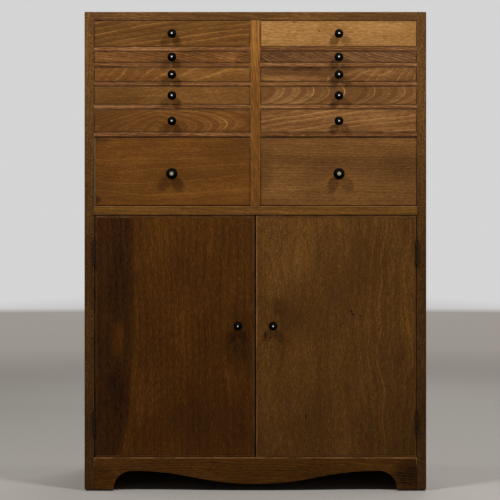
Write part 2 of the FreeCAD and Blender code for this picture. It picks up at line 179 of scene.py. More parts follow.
class NodeSheet:
    """A tree of shader nodes."""

    def __init__(self, tree: bpy.types.NodeTree) -> None:
        """Clears the tree."""
        self.tree = tree
        tree.nodes.clear()

    def node(self, kind: str, settings: dict, sockets: dict) -> bpy.types.Node:
        """Adds a node.

        Args:
            kind: the node's type.
            settings: what is set on the node itself, first; stops is a ramp's list of place and colour.
            sockets: its inputs' values or links, by name or number.

        Returns:
            The node.
        """
        made = self.tree.nodes.new(kind)
        for name, setting in settings.items():
            if name == "stops":
                for element, (place, colour) in zip(self._elements(made.color_ramp, len(setting)), setting):
                    element.position = place
                    element.color = (*colour, 1.0)
            else:
                setattr(made, name, setting)
        self.plug(made, sockets)
        return made

    def plug(self, node: bpy.types.Node, sockets: dict) -> None:
        """Sets or links a node's inputs.

        Args:
            node: the node.
            sockets: its inputs' values or links, by name or number.
        """
        for name, given in sockets.items():
            if isinstance(given, Value):
                self.tree.links.new(given.socket, node.inputs[name])
            else:
                node.inputs[name].default_value = given

    def _elements(self, ramp: bpy.types.ColorRamp, count: int) -> list[bpy.types.ColorRampElement]:
        """That many stops on a ramp."""
        while len(ramp.elements) < count:
            ramp.elements.new(1.0)
        return list(ramp.elements)

    def value(self, kind: str, settings: dict, sockets: dict, output: Union[int, str] = 0) -> Value:
        """Adds a node and wraps one of its outputs.

        Args:
            kind: the node's type.
            settings: what is set on the node itself.
            sockets: its inputs' values or links.
            output: which output, by name or number.

        Returns:
            That output.
        """
        return Value(self, self.node(kind, settings, sockets).outputs[output])

    def attribute(self, name: str, output: str = "Fac") -> Value:
        """A number or vector kept on the mesh."""
        return self.value("ShaderNodeAttribute", {"attribute_name": name}, {}, output)

    def split(self, vector: Value) -> list[Value]:
        """The three parts of a vector."""
        return [Value(self, part) for part in self.node("ShaderNodeSeparateXYZ", {}, {0: vector}).outputs]

    def blend(self, share: Operand, first: Union[Value, Colour], second: Union[Value, Colour]) -> Value:
        """Mixes two colours.

        Args:
            share: how much of the second, 0 to 1.
            first: the colour underneath.
            second: the colour on top.

        Returns:
            The mixed colour.
        """
        ends = [given if isinstance(given, Value) else (*given, 1.0) for given in (first, second)]
        settings = {"data_type": "RGBA", "clamp_factor": True}
        return self.value("ShaderNodeMix", settings, {0: share, 6: ends[0], 7: ends[1]}, 2)

    def ramp(self, share: Value, stops: list[tuple[float, Colour]]) -> Value:
        """A colour from a run of stops."""
        return self.value("ShaderNodeValToRGB", {"stops": stops}, {0: share})

    def stretched(self, vector: Value, scale: tuple[float, float, float]) -> Value:
        """A vector times a scale for each axis."""
        return self.value("ShaderNodeVectorMath", {"operation": "MULTIPLY"}, {0: vector, 1: scale})

    def noise(self, kind: Noise, place: Value, number: Operand = 1.0) -> Value:
        """Noise over a surface.

        Args:
            kind: which noise.
            place: the place on the surface.
            number: the board's own number.

        Returns:
            The noise.
        """
        sockets = {"Vector": self.stretched(place, kind.scale), "W": number * kind.shift, "Scale": 1.0,
                   "Detail": kind.detail, "Roughness": kind.roughness, "Distortion": kind.distortion}
        return self.value("ShaderNodeTexNoise", {"noise_dimensions": "4D"}, sockets)

    def chance(self, number: Value) -> Value:
        """A random number from 0 to 1 for each whole number."""
        return self.value("ShaderNodeTexWhiteNoise", {"noise_dimensions": "1D"}, {"W": number})

    def seen(self) -> Value:
        """1 for what the camera sees, straight, in gloss or through glass; 0 for what lights the rest."""
        path = self.node("ShaderNodeLightPath", {}, {})
        rays = [Value(self, path.outputs[f"Is {ray} Ray"]) for ray in ("Camera", "Glossy", "Transmission")]
        return rays[0].most(rays[1]).most(rays[2])

    def relief(self, height: Value, strength: float, depth: float) -> Value:
        """A bumped normal.

        Args:
            height: the relief, 0 to 1.
            strength: how much of it shows.
            depth: its depth in metres.

        Returns:
            The normal.
        """
        return self.value("ShaderNodeBump", {}, {"Strength": strength, "Distance": depth, "Height": height})


class FinishSheet(NodeSheet):
    """The nodes of one material, ending in one Principled shader."""

    def __init__(self, name: str) -> None:
        """Makes the material, its shader and its output."""
        self.material = bpy.data.materials.new(name)
        self.material.use_nodes = True
        super().__init__(self.material.node_tree)
        self.shader = self.node("ShaderNodeBsdfPrincipled", {}, {})
        self.output = self.node("ShaderNodeOutputMaterial", {}, {"Surface": self.surface()})

    def surface(self) -> Value:
        """What the shader gives."""
        return Value(self, self.shader.outputs[0])

    def feed(self, **given: Operand) -> None:
        """Sets or links the shader's sockets, named with underscores for spaces."""
        self.plug(self.shader, {name.replace("_", " "): number for name, number in given.items()})


class BoardSheet(FinishSheet):
    """The nodes of a material that follows the grain of each board."""

    def __init__(self, name: str) -> None:
        """Adds the place along, across and through the board, and the board's own number."""
        super().__init__(name)
        self.grain = self.attribute("grain", "Vector")
        self.seed = self.attribute("seed")

    def on_board(self, kind: Noise) -> Value:
        """Noise that is another on each board."""
        return self.noise(kind, self.grain, self.seed)


@dataclass(frozen=True)
class Mark:
    """A patch, knot or stain on a board; some marks paint light and shade instead.

    Fields:
        along: its middle along the grain, from the board's middle.
        across: its middle across the grain.
        length: half its length along the grain.
        width: half its width across the grain.
        tone: how much lighter it is; below 0, how much darker.
        core: the share of it that is at full strength.
    """

    along: float
    across: float
    length: float
    width: float
    tone: float
    core: float = 0.0

    def shade(self, along: Value, across: Value, ragged: Value) -> Value:
        """What the mark adds to the tone of the wood.

        Args:
            along: place along the grain.
            across: place across the grain.
            ragged: noise about 0 that breaks up its outline.

        Returns:
            The added tone.
        """
        down = (along - self.along) / self.length
        over = (across - self.across) / self.width
        near = down * down + over * over + ragged
        return near.rise(1.0, self.core) * self.tone


@dataclass(frozen=True)
class Figure:
    """How the growth rings meet the face of a board, as a surface in the wood.

    Fields:
        pitch: distance from ring to ring.
        across: share of the way across the board.
        rise: share of the way along it; rings slope where it isn't 0.
        depth: share of the way through it.
        bow: how much the rings bend along the board, for each metre.
        crown: how much they bend across it, for each metre, which gives arched figure.
        centre: where across the board the arches have their tips.
        lean: how much those tips shift across the board along its length.
        fold: where along the board the figure mirrors itself, or None.
        drift: how far the rings wander.
        waves: wanderings for each metre along and across.
        start: how many rings apart two boards start.
    """

    pitch: float = 0.006
    across: float = 1.0
    rise: float = 0.0
    depth: float = 0.35
    bow: float = 0.0
    crown: float = 0.0
    centre: float = 0.0
    lean: float = 0.0
    fold: Optional[float] = None
    drift: float = 0.012
    waves: tuple[float, float] = (4.0, 22.0)
    start: float = 7.0

    def rings(self, sheet: BoardSheet, parts: list[Value]) -> Value:
        """The count of rings from the board's middle.

        Args:
            sheet: the material's nodes.
            parts: the place along, across and through the board.

        Returns:
            A number that grows by 1 from ring to ring.
        """
        along, across, through = parts
        folded = along if self.fold is None else abs(along - self.fold)
        slow, quick = self.waves
        wander = sheet.on_board(Noise((slow, quick, quick), shift=31.0))
        surface = (wander - 0.5) * (2 * self.drift) + through * self.depth
        if self.across:
            surface = surface + across * self.across
        if self.rise:
            surface = surface + folded * self.rise
        if self.bow:
            surface = surface + folded * folded * self.bow
        if self.crown:
            arch = across - (along * self.lean + self.centre)
            surface = surface + arch * arch * self.crown
        return surface / self.pitch + sheet.seed * self.start


# Noise in wood
STREAKS = Noise((2.2, 75.0, 75.0), shift=17.0, detail=3.0, roughness=0.6)
FIBRES = Noise((60.0, 620.0, 620.0), shift=23.0, detail=3.0, roughness=0.65)
CLOUDS = Noise((5.0, 11.0, 11.0), shift=41.0)
PORES = Noise((46.0, 1500.0, 1500.0), shift=13.0, detail=1.0)
RUBBING_AND_LIT = Noise((30.0, 160.0, 160.0), shift=53.0, detail=3.0, roughness=0.7)

# Noise in knobs, inlays, metal, felt and the floor's paint
TURNING_LINES = Noise((60.0, 60.0, 1800.0), shift=19.0)
HANDLING = Noise((130.0, 130.0, 130.0), shift=29.0, detail=3.0, roughness=0.6)
PITS = Noise((2600.0, 2600.0, 2600.0), shift=19.0)
LAYERS = Noise((300.0, 900.0, 300.0), shift=29.0)
DRAWN_LINES = Noise((120.0, 2400.0, 2400.0), shift=19.0)
PATCHES = Noise((240.0, 240.0, 240.0), shift=29.0, detail=4.0, roughness=0.65)
HAIRS = Noise((900.0, 1500.0, 1500.0), shift=19.0, detail=4.0, roughness=0.7, distortion=1.5)
PAINT_CLOUDS = Noise((1.5, 1.5, 1.5), shift=3.0, detail=3.0)

# Distances from an arris at which a change sets in and at which it is full
SOILED_AND_SHADED = (0.005, 0.0)
CAKED_AND_SHADED = (0.0022, 0.0004)
RIMMED_AND_SHADED = (0.0013, 0.0005)
RUBBED_AND_LIT = (0.0016, 0.0004)

# From where to where on a noise, or up a board, a change sets in
OPEN_PORES = (0.6, 0.72)
RUBBED_AND_LIT_SPOTS = (0.3, 0.6)
UPPER_HIGHLIGHT_PART = (0.3, 0.9)

# Rings are strong or faint by chance: how far apart two boards lie in it, and how faint late wood gets
RING_CHANCE = 91.0
FAINT_RING = 0.6

# Pale lines, then finer ones: how many to a ring, how strong, and how far apart two boards lie in chance
LINES = ((1.0, 1.0, RING_CHANCE), (3.0, 0.4, 57.0))
# The widest that a line may be, as a share of its ring, and how far lines take to come up
WIDEST_LINE = 0.2
LINE_FADE = 0.08


@dataclass(frozen=True)
class Finish:
    """What a surface is made of.

    Fields:
        name: the material's name.
    """

    name: str

    def material(self) -> bpy.types.Material:
        """The material, made once.

        Returns:
            The material.
        """
        if self.name not in bpy.data.materials:
            self.dress(BoardSheet(self.name))
        return bpy.data.materials[self.name]

    def dress(self, sheet: BoardSheet) -> None:
        """Adds the nodes of the finish; each finish has its own."""
        raise NotImplementedError


@dataclass(frozen=True)
class WoodFinish(Finish):
    """Polished wood, seen as rings, fibre, pores and rubbed arrises, with painted shade and highlight at
    them.

    Fields:
        deep: colour of the darkest wood.
        body: colour of the wood between.
        pale: colour of the lightest wood.
        figure: how the rings run.
        line: how much lighter the pale line in each ring is.
        line_width: half the width of that line.
        line_start: where across the board the lines start, if not all over.
        shadow: how much darker each ring gets towards its end.
        streak: strength of the broad streaks along the grain.
        fleck: strength of the short flecks.
        fleck_size: length and width of a fleck.
        fibre: strength of the fine fibre.
        cloud: strength of the slow change of tone.
        pores: strength of the open pores.
        spread: how much boards differ.
        wear_and_highlight: how much shows of the bare wood at the arrises, also as painted highlight.
        worn_and_lit: colour of that bare wood, and of the painted highlight.
        upper_highlight: whether only the upper arrises are bared, as painted highlight of light from above.
        grime_and_shade: how much darker the wood is just inside its arrises, from dirt and painted shade.
        rim_polish_and_shade: darkening right at the arrises, from gathered polish and painted gap shade.
        rim_polish_and_shade_tone: colour of that polish and painted gap shade.
        gloss: roughness of the polish.
        coat: weight of the polish coat.
        marks: patches, knots and stains; on some finishes they paint light and shade instead.
    """

    deep: Colour
    body: Colour
    pale: Colour
    figure: Figure = Figure()
    line: float = 0.16
    line_width: float = 0.0016
    line_start: Optional[float] = None
    shadow: float = 0.12
    streak: float = 0.18
    fleck: float = 0.32
    fleck_size: tuple[float, float] = (0.009, 0.002)
    fibre: float = 0.25
    cloud: float = 0.35
    pores: float = 0.35
    spread: float = 0.0
    wear_and_highlight: float = 0.5
    worn_and_lit: Colour = tint(172, 122, 70)
    upper_highlight: bool = False
    grime_and_shade: float = 0.25
    rim_polish_and_shade: float = 0.0
    rim_polish_and_shade_tone: Colour = tint(50, 17, 10)
    gloss: float = 0.42
    coat: float = 0.02
    marks: tuple[Mark, ...] = ()

    def dress(self, sheet: BoardSheet) -> None:
        """Adds rings, fibre and pores, then dirt, rubbing, and painted shade and highlight at the arrises.

        Args:
            sheet: the material's nodes.
        """
        parts = sheet.split(sheet.grain)
        streak, fibre, cloud = [sheet.on_board(kind) - 0.5 for kind in (STREAKS, FIBRES, CLOUDS)]
        length, width = self.fleck_size
        fleck = sheet.on_board(Noise((1 / length, 1 / width, 1 / width), shift=61.0, roughness=0.6)) - 0.5
        rings = self.figure.rings(sheet, parts)
        turn = rings.fraction()
        faint = sheet.chance(rings.floor() + sheet.seed * RING_CHANCE) * FAINT_RING
        late = turn * turn * (1.0 - faint)
        lines = self._pale_lines(sheet, rings, parts[1]) * (0.9 + fleck * 1.4)
        tone = streak * (2 * self.streak) + fibre * (2 * self.fibre) + cloud * (2 * self.cloud) + 0.5
        tone = tone + fleck * (2 * self.fleck) + lines * (2 * self.line) - late * (1.6 * self.shadow)
        if self.spread:
            tone = tone + (sheet.seed - 0.5) * (2 * self.spread)
        for mark in self.marks:
            tone = tone + mark.shade(parts[0], parts[1], cloud * 0.9 + fibre * 0.4)
        colour = sheet.ramp(tone, [(0.0, self.deep), (0.5, self.body), (1.0, self.pale)])
        pore = sheet.on_board(PORES).rise(*OPEN_PORES)
        colour = sheet.blend(pore * self.pores, colour, self.deep)
        colour, bare = self._at_arrises(sheet, colour, parts, streak)
        rough = self.gloss - fibre * 0.25 + pore * 0.16 + bare * 0.14 - cloud * 0.12
        height = 0.5 + fibre * 0.5 - pore * 0.6 - late * 0.12
        sheet.feed(Specular_IOR_Level=0.06, Coat_Weight=self.coat, Coat_Roughness=0.3, Base_Color=colour,
                   Roughness=rough, Normal=sheet.relief(height, strength=0.35, depth=0.0004))

    def _pale_lines(self, sheet: BoardSheet, rings: Value, across: Value) -> Value:
        """Thin lines in each ring, some strong and some faint.

        Args:
            sheet: the material's nodes.
            rings: the count of rings.
            across: place across the board.

        Returns:
            The strength of the lines.
        """
        share = min(WIDEST_LINE, self.line_width / self.figure.pitch)
        lines: Operand = 0.0
        for count, strength, apart in LINES:
            turn = rings * count
            ridge = (1.0 - abs(turn.fraction() - 0.5) / share).most(0.0)
            lines = ridge * sheet.chance(turn.floor() + sheet.seed * apart) * strength + lines
        if self.line_start is None:
            return lines
        return lines * across.rise(self.line_start, self.line_start + LINE_FADE)

    def _at_arrises(self, sheet: BoardSheet, colour: Value, parts: list[Value],
                    streak: Value) -> tuple[Value, Value]:
        """Darkens the wood at its arrises with dirt and painted shade, and bares it, partly as painted
        highlight.

        Args:
            sheet: the material's nodes.
            colour: the wood so far.
            parts: the place along, across and through the board.
            streak: the broad streaks, about 0.

        Returns:
            The colour, and how much bare wood and painted highlight it shows.
        """
        halves = sheet.split(sheet.attribute("half", "Vector"))
        gaps = [half - abs(part) for half, part in zip(halves, parts)]
        # Of the distances to the three pairs of sides, the middle one is that to the nearest arris
        inside = gaps[0].least(gaps[1]).most(gaps[0].most(gaps[1]).least(gaps[2]))
        # Dirt, and painted shade where arrises turn from the light and meet gaps: darker towards each arris
        soiled_and_shaded = inside.rise(*SOILED_AND_SHADED) * (0.7 + streak) + inside.rise(*CAKED_AND_SHADED)
        colour = sheet.blend(soiled_and_shaded * self.grime_and_shade, colour, self.deep)
        # Gathered dark polish, and painted shade of the gaps, right at the arrises
        if self.rim_polish_and_shade:
            colour = sheet.blend(inside.rise(*RIMMED_AND_SHADED) * self.rim_polish_and_shade, colour, self.rim_polish_and_shade_tone)
        edge = inside.rise(*RUBBED_AND_LIT).most(sheet.attribute("arris"))
        bare = edge * sheet.on_board(RUBBING_AND_LIT).rise(*RUBBED_AND_LIT_SPOTS) * self.wear_and_highlight
        # Kept to the upper arrises, the bared wood is a painted highlight of light from above
        if self.upper_highlight:
            bare = bare * sheet.attribute("top").rise(*UPPER_HIGHLIGHT_PART)
        return sheet.blend(bare, colour, self.worn_and_lit), bare


@dataclass(frozen=True)
class EbonisedFinish(Finish):
    """Turned wood, stained black and polished.

    Fields:
        stain: its colour.
        rubbed: its colour where hands have rubbed it.
    """

    name: str = "ebonised_polish"
    stain: Colour = tint(5, 4, 4)
    rubbed: Colour = tint(17, 13, 11)

    def dress(self, sheet: BoardSheet) -> None:
        """Adds faint turning lines, and brown where hands have rubbed.

        Args:
            sheet: the material's nodes.
        """
        lines = sheet.on_board(TURNING_LINES)
        cloud = sheet.on_board(HANDLING)
        colour = sheet.blend(cloud.rise(0.5, 0.8) * 0.6, self.stain, self.rubbed)
        rough = 0.5 + (cloud - 0.5) * 0.2 + (lines - 0.5) * 0.1
        sheet.feed(Specular_IOR_Level=0.025, Base_Color=colour, Roughness=rough,
                   Normal=sheet.relief(lines, strength=0.15, depth=0.0002))


@dataclass(frozen=True)
class InlayFinish(Finish):
    """The pale dot let into a knob.

    Fields:
        pale: its colour.
        tanned: its colour in the layers and pits that have taken dirt.
    """

    pale: Colour
    tanned: Colour

    def dress(self, sheet: BoardSheet) -> None:
        """Adds fine pits and tanned layers.

        Args:
            sheet: the material's nodes.
        """
        pits = sheet.on_board(PITS)
        tan = sheet.on_board(LAYERS).rise(0.45, 0.75) * 0.5 + pits.rise(0.6, 0.8) * 0.3
        sheet.feed(Coat_Weight=0.3, Coat_Roughness=0.15, IOR=1.54, Roughness=0.3 + pits * 0.15,
                   Base_Color=sheet.blend(tan, self.pale, self.tanned),
                   Normal=sheet.relief(pits, strength=0.2, depth=0.0001))


@dataclass(frozen=True)
class MetalFinish(Finish):
    """Old fittings: bare metal where it rubs, a dull skin elsewhere.

    Fields:
        bright: colour of the bare metal.
        skin: colour of the skin.
        dull: roughness of the bare metal.
        bare: how metallic the bare metal looks.
        shine: strength of the skin's own reflection.
    """

    bright: Colour
    skin: Colour
    dull: float = 0.5
    bare: float = 1.0
    shine: float = 0.5

    def dress(self, sheet: BoardSheet) -> None:
        """Adds drawn lines and a patchy skin.

        Args:
            sheet: the material's nodes.
        """
        drawn = sheet.on_board(DRAWN_LINES)
        patch = sheet.on_board(PATCHES)
        skin = patch.rise(0.28, 0.6)
        rough = self.dull + (drawn - 0.5) * 0.2 + skin * 0.15
        sheet.feed(Specular_IOR_Level=self.shine, Metallic=self.bare - skin * (0.55 * self.bare),
                   Base_Color=sheet.blend(skin, self.bright, self.skin), Roughness=rough,
                   Normal=sheet.relief(drawn + patch, strength=0.2, depth=0.0001))


@dataclass(frozen=True)
class FeltFinish(Finish):
    """Dark pressed felt.

    Fields:
        fluff: colour of the hairs on top.
        depth: colour between them.
    """

    name: str = "pad_felt"
    fluff: Colour = tint(46, 43, 40)
    depth: Colour = tint(16, 15, 14)

    def dress(self, sheet: BoardSheet) -> None:
        """Adds matted hairs.

        Args:
            sheet: the material's nodes.
        """
        hairs = sheet.on_board(HAIRS)
        colour = sheet.blend(hairs.rise(0.3, 0.7), self.depth, self.fluff)
        sheet.feed(Sheen_Weight=0.2, Base_Color=colour, Roughness=0.85 + hairs * 0.15,
                   Normal=sheet.relief(hairs, strength=0.6, depth=0.0006))


@dataclass(frozen=True)
class Bench:
    """Cuts a shown piece from the mesh of a node.

    Fields:
        weld: points nearer than this are one.
        level: faces that meet flatter than this are one.
        soft: faces that meet flatter than this shade as one surface.
        rounds: faces across an eased arris.
        shortest: arrises shorter than this stay sharp.
        near: points nearer than this to a side of their solid's box lie on it.
        frontal: a face is to the front where its normal has less than this along Y.
    """

    weld: float = 4e-6
    level: float = math.radians(0.4)
    soft: float = math.radians(40.0)
    rounds: int = 2
    shortest: float = 0.009
    near: float = 2e-6
    frontal: float = -0.7

    def cut(self, node: str, arrises: Arrises, ease: float, finishes: tuple[Finish, ...],
            facing: Optional[Finish]) -> bpy.types.Object:
        """A finished copy of a node's mesh.

        Args:
            node: the node's name.
            arrises: which arrises are eased.
            ease: how far each is taken off.
            finishes: the finish of the largest solid, of the next, and so on, from the left where two are
                as large; the last one serves for the rest.
            facing: the finish of what faces the front, if it is another.

        Returns:
            The piece, in the scene and in its place.
        """
        work = bmesh.new()
        work.from_mesh(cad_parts[node].data)
        bmesh.ops.remove_doubles(work, verts=work.verts[:], dist=self.weld)
        bmesh.ops.dissolve_limit(work, angle_limit=self.level, verts=work.verts[:], edges=work.edges[:])
        self._ease(work, arrises, ease)
        boards = sorted(self._boards(work), key=self._rank)
        for rank, board in enumerate(boards):
            for face in {face for vert in board for face in vert.link_faces}:
                turned = facing is not None and face.normal.y < self.frontal
                face.material_index = len(finishes) if turned else min(rank, len(finishes) - 1)
        work.verts.index_update()
        places = [[vert.index for vert in board] for board in boards]
        mesh = bpy.data.meshes.new(f"finished_{node}")
        work.to_mesh(mesh)
        work.free()
        for finish in (*finishes, facing) if facing else finishes:
            mesh.materials.append(finish.material())
        self._lay_grain(mesh, places, node)
        piece = bpy.data.objects.new(f"finished_{node}", mesh)
        bpy.context.scene.collection.objects.link(piece)
        return piece

    def _ease(self, work: bmesh.types.BMesh, arrises: Arrises, ease: float) -> None:
        """Takes the arrises off, marks the faces that this makes, and smooths soft bends.

        Args:
            work: the mesh being worked.
            arrises: which arrises are eased.
            ease: how far each is taken off.
        """
        eased = work.faces.layers.float.new("arris")
        if arrises is not Arrises.AS_CUT:
            chosen = [edge for board in self._boards(work) for edge in self._arrises(board, arrises)]
            made = bmesh.ops.bevel(work, geom=chosen, offset=ease, offset_type="OFFSET", affect="EDGES",
                                   segments=self.rounds, profile=0.5, clamp_overlap=False)
            for face in made["faces"]:
                face[eased] = 1.0
        for edge in work.edges:
            edge.smooth = edge.is_manifold and edge.calc_face_angle() < self.soft and (
                edge.link_faces[0][eased] == edge.link_faces[1][eased])
        for face in work.faces:
            face.smooth = True

    def _boards(self, work: bmesh.types.BMesh) -> list[list[bmesh.types.BMVert]]:
        """The points of each separate solid.

        Args:
            work: the mesh being worked.

        Returns:
            One list of points for each solid.
        """
        seen: set[bmesh.types.BMVert] = set()
        boards = []
        for start in work.verts:
            if start in seen:
                continue
            seen.add(start)
            board = [start]
            for vert in board:
                for edge in vert.link_edges:
                    other = edge.other_vert(vert)
                    if other not in seen:
                        seen.add(other)
                        board.append(other)
            boards.append(board)
        return boards

    def _box(self, board: list[bmesh.types.BMVert]) -> tuple[np.ndarray, np.ndarray]:
        """The lowest and highest corners of a solid."""
        places = np.array([vert.co for vert in board])
        return places.min(0), places.max(0)

    def _rank(self, board: list[bmesh.types.BMVert]) -> tuple[float, float]:
        """Sorts solids by the volume of their box, then from left to right."""
        low, high = self._box(board)
        return -round(float(np.prod(high - low)), 8), float(low[0])

    def _arrises(self, board: list[bmesh.types.BMVert], arrises: Arrises) -> list[bmesh.types.BMEdge]:
        """The arrises of one solid that are eased.

        Args:
            board: the solid's points.
            arrises: which kind.

        Returns:
            The edges.
        """
        low, high = self._box(board)
        chosen = []
        for edge in {edge for vert in board for edge in vert.link_edges}:
            if not edge.is_manifold or not edge.is_convex or edge.calc_face_angle() < self.soft:
                continue
            ends = np.array([vert.co for vert in edge.verts])
            if arrises is Arrises.FACE:
                if (ends[:, 1] < low[1] + self.near).all():
                    chosen.append(edge)
                continue
            on_low = (np.abs(ends - low) < self.near).all(0)
            on_high = (np.abs(ends - high) < self.near).all(0)
            if (on_low | on_high).sum() >= 2 and edge.calc_length() > self.shortest:
                chosen.append(edge)
        return chosen

    def _lay_grain(self, mesh: bpy.types.Mesh, places: list[list[int]], node: str) -> None:
        """Gives each solid its grain: along its longest side, across the next, then through it.

        Args:
            mesh: the piece's mesh.
            places: the points of each solid.
            node: the node's name, which seeds its boards.
        """
        spots = np.zeros(len(mesh.vertices) * 3)
        mesh.vertices.foreach_get("co", spots)
        spots = spots.reshape(-1, 3)
        grain = np.zeros_like(spots)
        half = np.zeros_like(spots)
        top = np.zeros(len(spots))
        seed = np.zeros(len(spots))
        dice = random.Random(node)
        for board in places:
            low, high = spots[board].min(0), spots[board].max(0)
            order = np.argsort(low - high, kind="stable")
            centred = spots[board] - (low + high) / 2
            grain[board] = centred[:, order]
            half[board] = ((high - low) / 2)[order]
            top[board] = centred[:, 2] / (high - low)[2] * 2
            seed[board] = dice.random()
        for name, kind, key, data in (("grain", "FLOAT_VECTOR", "vector", grain),
                                      ("half", "FLOAT_VECTOR", "vector", half),
                                      ("top", "FLOAT", "value", top), ("seed", "FLOAT", "value", seed)):
            layer = mesh.attributes.new(name, kind, "POINT")
            layer.data.foreach_set(key, data.ravel())


@dataclass
class SubAssembly:
    """What every part of the cabinet shares.

    Fields:
        bench: where its pieces are cut.
        ease: how far its arrises are taken off.
    """

    bench: Bench = field(default_factory=Bench)
    ease: float = 0.0007

    @property
    def body(self) -> str:
        """The body that it moves with."""
        return "carcass"

    def add(self, node: str, slot: Slot, *finishes: Finish, arrises: Arrises = Arrises.OUTER,
            ease: float = 0.0, facing: Optional[Finish] = None) -> None:
        """Cuts a piece for a node, dresses it and lets it ride.

        Args:
            node: the node that it stands for.
            slot: the record's slot of its finish; not used.
            finishes: its finishes, from its largest solid on.
            arrises: which arrises are eased.
            ease: how far, if not as the rest.
            facing: the finish of what faces the front, if it is another.
        """
        body = self.body
        piece = self.bench.cut(node, arrises, ease or self.ease, finishes, facing)
        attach(piece, body)
        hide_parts(node)
        log.info("%s: %d faces, rides on %s", piece.name, len(piece.data.polygons), body)


CARCASS_WOOD = WoodFinish(
    "carcass_polish", deep=tint(31, 17, 6), body=tint(92, 60, 27), pale=tint(170, 120, 65),
    figure=Figure(0.0045, rise=0.03, depth=0.6), line=0.08, shadow=0.1, streak=0.2, fleck=0.3,
    fleck_size=(0.006, 0.0018), fibre=0.3, cloud=0.24, spread=0.06, wear_and_highlight=0.3)

WAIST_WOOD = replace(CARCASS_WOOD, name="waist_polish", body=tint(117, 77, 31), wear_and_highlight=0.45)

# Side edges: dirt and painted shade darken the arrises; the marks paint the top lighter, the bottom darker
SIDE_EDGE = WoodFinish(
    "side_edge_polish", deep=tint(36, 19, 5), body=tint(76, 48, 19), pale=tint(126, 88, 43),
    figure=Figure(0.005, across=0.0, rise=-0.03, depth=0.9, drift=0.004, waves=(6.0, 60.0)), line=0.1,
    shadow=0.12, streak=0.1, fleck=0.8, fleck_size=(0.0024, 0.002), fibre=0.3, cloud=0.3, wear_and_highlight=0.15,
    grime_and_shade=0.4, marks=(Mark(0.55, 0.0, 0.5, 2.0, 0.16), Mark(-0.5, 0.0, 0.62, 2.0, -0.06)))

# The divider's marks paint light and shade: a little lighter at the top, darker towards the bottom
DIVIDER_WOOD = WoodFinish(
    "divider_polish", deep=tint(62, 32, 8), body=tint(122, 77, 30), pale=tint(178, 127, 61),
    figure=Figure(0.005, rise=0.18, depth=0.8, bow=-0.43, drift=0.004), line=0.16, shadow=0.16, fleck=0.32,
    fleck_size=(0.02, 0.0024), fibre=0.3, wear_and_highlight=0.45,
    marks=(Mark(0.22, 0.0, 0.14, 2.0, 0.02), Mark(-0.2, 0.0, 0.16, 2.0, -0.1)))

# The rails' upper arrises are bared as painted highlight; their arrises carry polish and painted gap shade.
RAIL_WOOD = WoodFinish(
    "rail_polish", deep=tint(45, 21, 8), body=tint(114, 73, 38), pale=tint(188, 135, 86),
    figure=Figure(0.004, rise=0.04, depth=0.9), line=0.16, shadow=0.2, streak=0.3, fleck=0.34, fibre=0.3,
    spread=0.1, wear_and_highlight=0.35, worn_and_lit=tint(182, 136, 80), upper_highlight=True, rim_polish_and_shade=0.34)

# The apron's upper arris is bared brightly, as painted highlight.
APRON_WOOD = WoodFinish(
    "apron_polish", deep=tint(23, 11, 3), body=tint(84, 50, 13), pale=tint(140, 91, 36),
    figure=Figure(0.0055, rise=0.02, depth=0.5, bow=0.12), line=0.14, shadow=0.16, streak=0.1, fibre=0.34,
    cloud=0.3, wear_and_highlight=1.0, worn_and_lit=tint(186, 132, 76), upper_highlight=True,
    marks=(Mark(0.345, -0.006, 0.05, 0.05, -0.3), Mark(-0.345, -0.012, 0.04, 0.05, -0.16)))

LINING_WOOD = WoodFinish(
    "lining_wood", deep=tint(120, 86, 48), body=tint(176, 138, 88), pale=tint(208, 174, 124),
    figure=Figure(0.0035), line=0.08, shadow=0.2, streak=0.22, fibre=0.22, cloud=0.2, spread=0.1,
    wear_and_highlight=0.25, worn_and_lit=tint(214, 186, 142), gloss=0.62, coat=0.0)

INNER_WOOD = WoodFinish(
    "inner_stain", deep=tint(56, 34, 15), body=tint(118, 82, 45), pale=tint(162, 122, 74),
    figure=Figure(0.0055, rise=0.02), line=0.12, shadow=0.2, streak=0.3, fibre=0.26, cloud=0.25,
    spread=0.12, wear_and_highlight=0.3, gloss=0.55, coat=0.0)

BACK_WOOD = replace(INNER_WOOD, name="back_stain", spread=0.2, wear_and_highlight=0.1, grime_and_shade=0.4, rim_polish_and_shade=0.6)

STRIP_WOOD = WoodFinish(
    "edging_strip", deep=tint(44, 36, 24), body=tint(92, 76, 54), pale=tint(134, 116, 90),
    fibre=0.3, wear_and_highlight=0.3)

DARK_LIPPING = WoodFinish(
    "dark_lipping", deep=tint(14, 6, 2), body=tint(40, 21, 6), pale=tint(74, 44, 16),
    spread=0.08, wear_and_highlight=0.15)

PALE_LIPPING = WoodFinish(
    "pale_lipping", deep=tint(66, 40, 16), body=tint(112, 75, 40), pale=tint(164, 118, 72),
    spread=0.1, wear_and_highlight=0.6)

EBONISED = EbonisedFinish()
PEARL_DOT = InlayFinish("pearl_dot", tint(206, 204, 196), tint(172, 167, 153))
BONE_DOT = InlayFinish("bone_dot", tint(146, 138, 112), tint(106, 96, 70))
HINGE_METAL = MetalFinish("aged_hinge", tint(62, 39, 22), tint(24, 14, 7), dull=0.6, bare=0.35, shine=0.12)
CATCH_METAL = MetalFinish("dull_catch", tint(170, 166, 158), tint(112, 104, 92), dull=0.45)
FELT = FeltFinish()


def front(name: str, *tones: Colour, **rest: object) -> WoodFinish:
    """A drawer front's own wood.

    Args:
        name: which front.
        tones: its darkest colour, the one between and its lightest.
        rest: its figure and other fields of the finish.

    Returns:
        The finish.
    """
    # Each front's upper arrises are bared as painted highlight, its arrises darkened with polish and
    # painted gap shade
    return WoodFinish(f"front_polish_{name}", *tones, wear_and_highlight=0.3, upper_highlight=True, rim_polish_and_shade=0.36, **rest)


